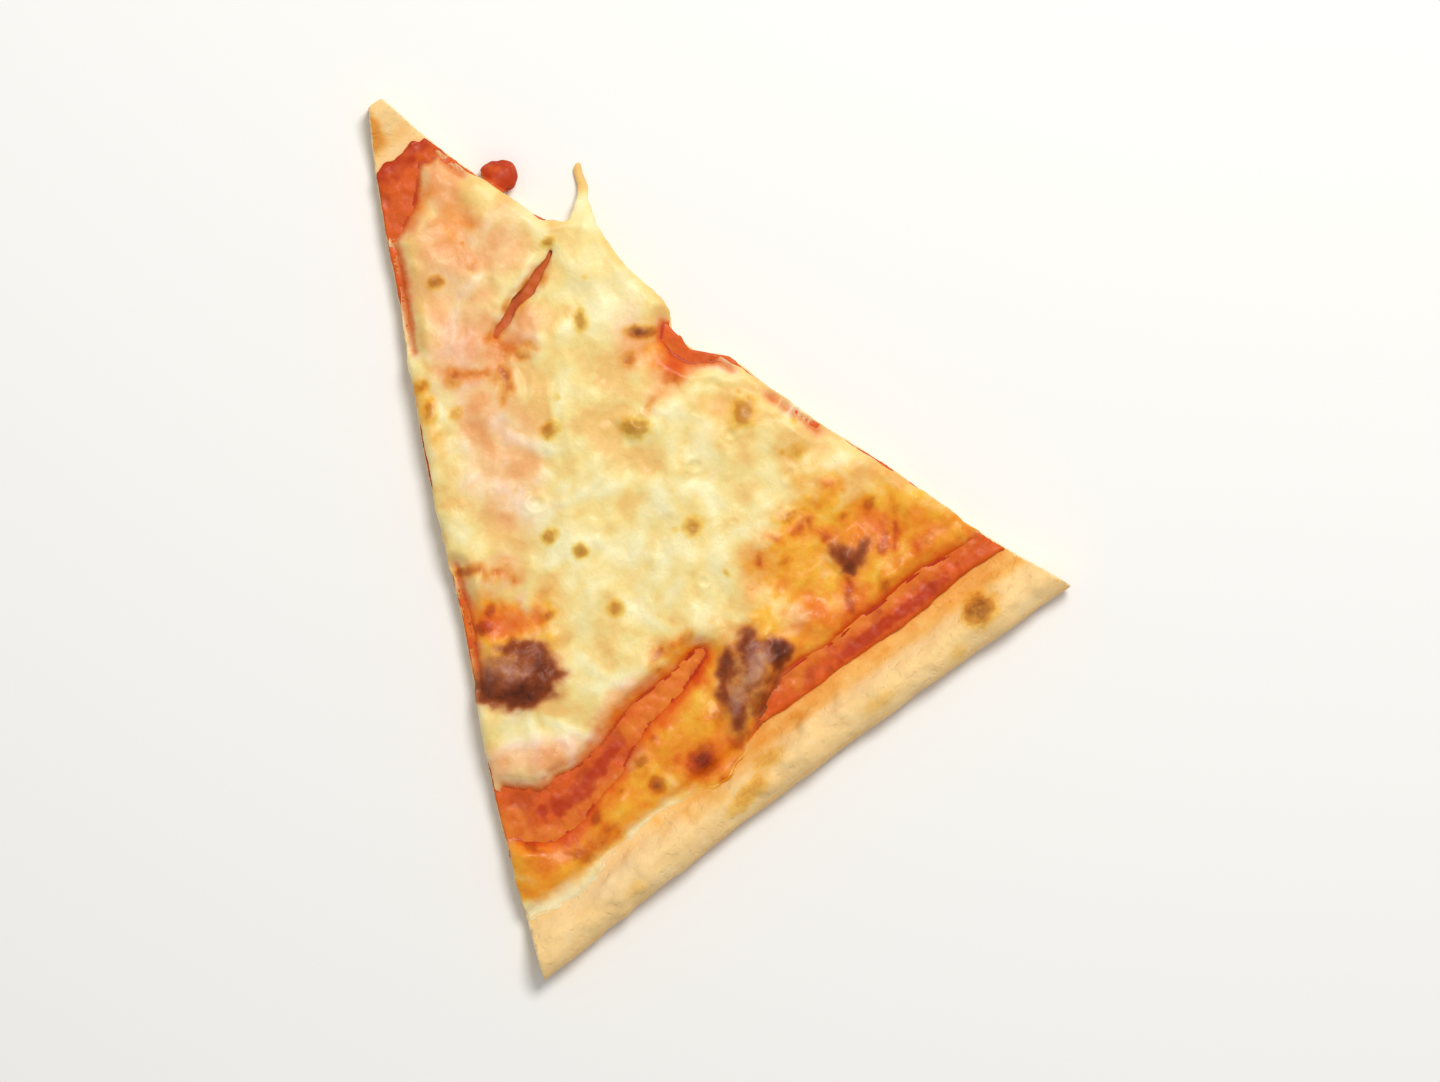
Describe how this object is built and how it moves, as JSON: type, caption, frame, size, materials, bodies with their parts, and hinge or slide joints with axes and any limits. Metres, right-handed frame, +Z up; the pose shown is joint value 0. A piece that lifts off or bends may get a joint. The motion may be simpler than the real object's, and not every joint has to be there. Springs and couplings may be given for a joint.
{
  "type": "margherita pizza slice",
  "caption": "Thin wedge slice of margherita pizza, cut from an oblong pizza: pale crust rim, baked dough base, tomato sauce and melted, blistered mozzarella.",
  "frame": {"origin": "on the flat underside, at the middle of the slice's box", "axes": "+Z up through the layers, +Y from the tip to the crust rim, +X across the slice"},
  "size_m": [0.1268, 0.1544, 0.0098],
  "materials": {
    "dough": "baked pizza dough: pale cream to golden, matt, browned underneath",
    "sauce": "baked tomato sauce: orange-red, moist and slightly glossy",
    "cheese": "melted mozzarella: cream yellow, oily sheen, browned spots and dark blisters"
  },
  "bodies": {
    "root": {"dough": "dough", "sauce": "sauce", "cheese": "cheese"}
  },
  "joints": []
}
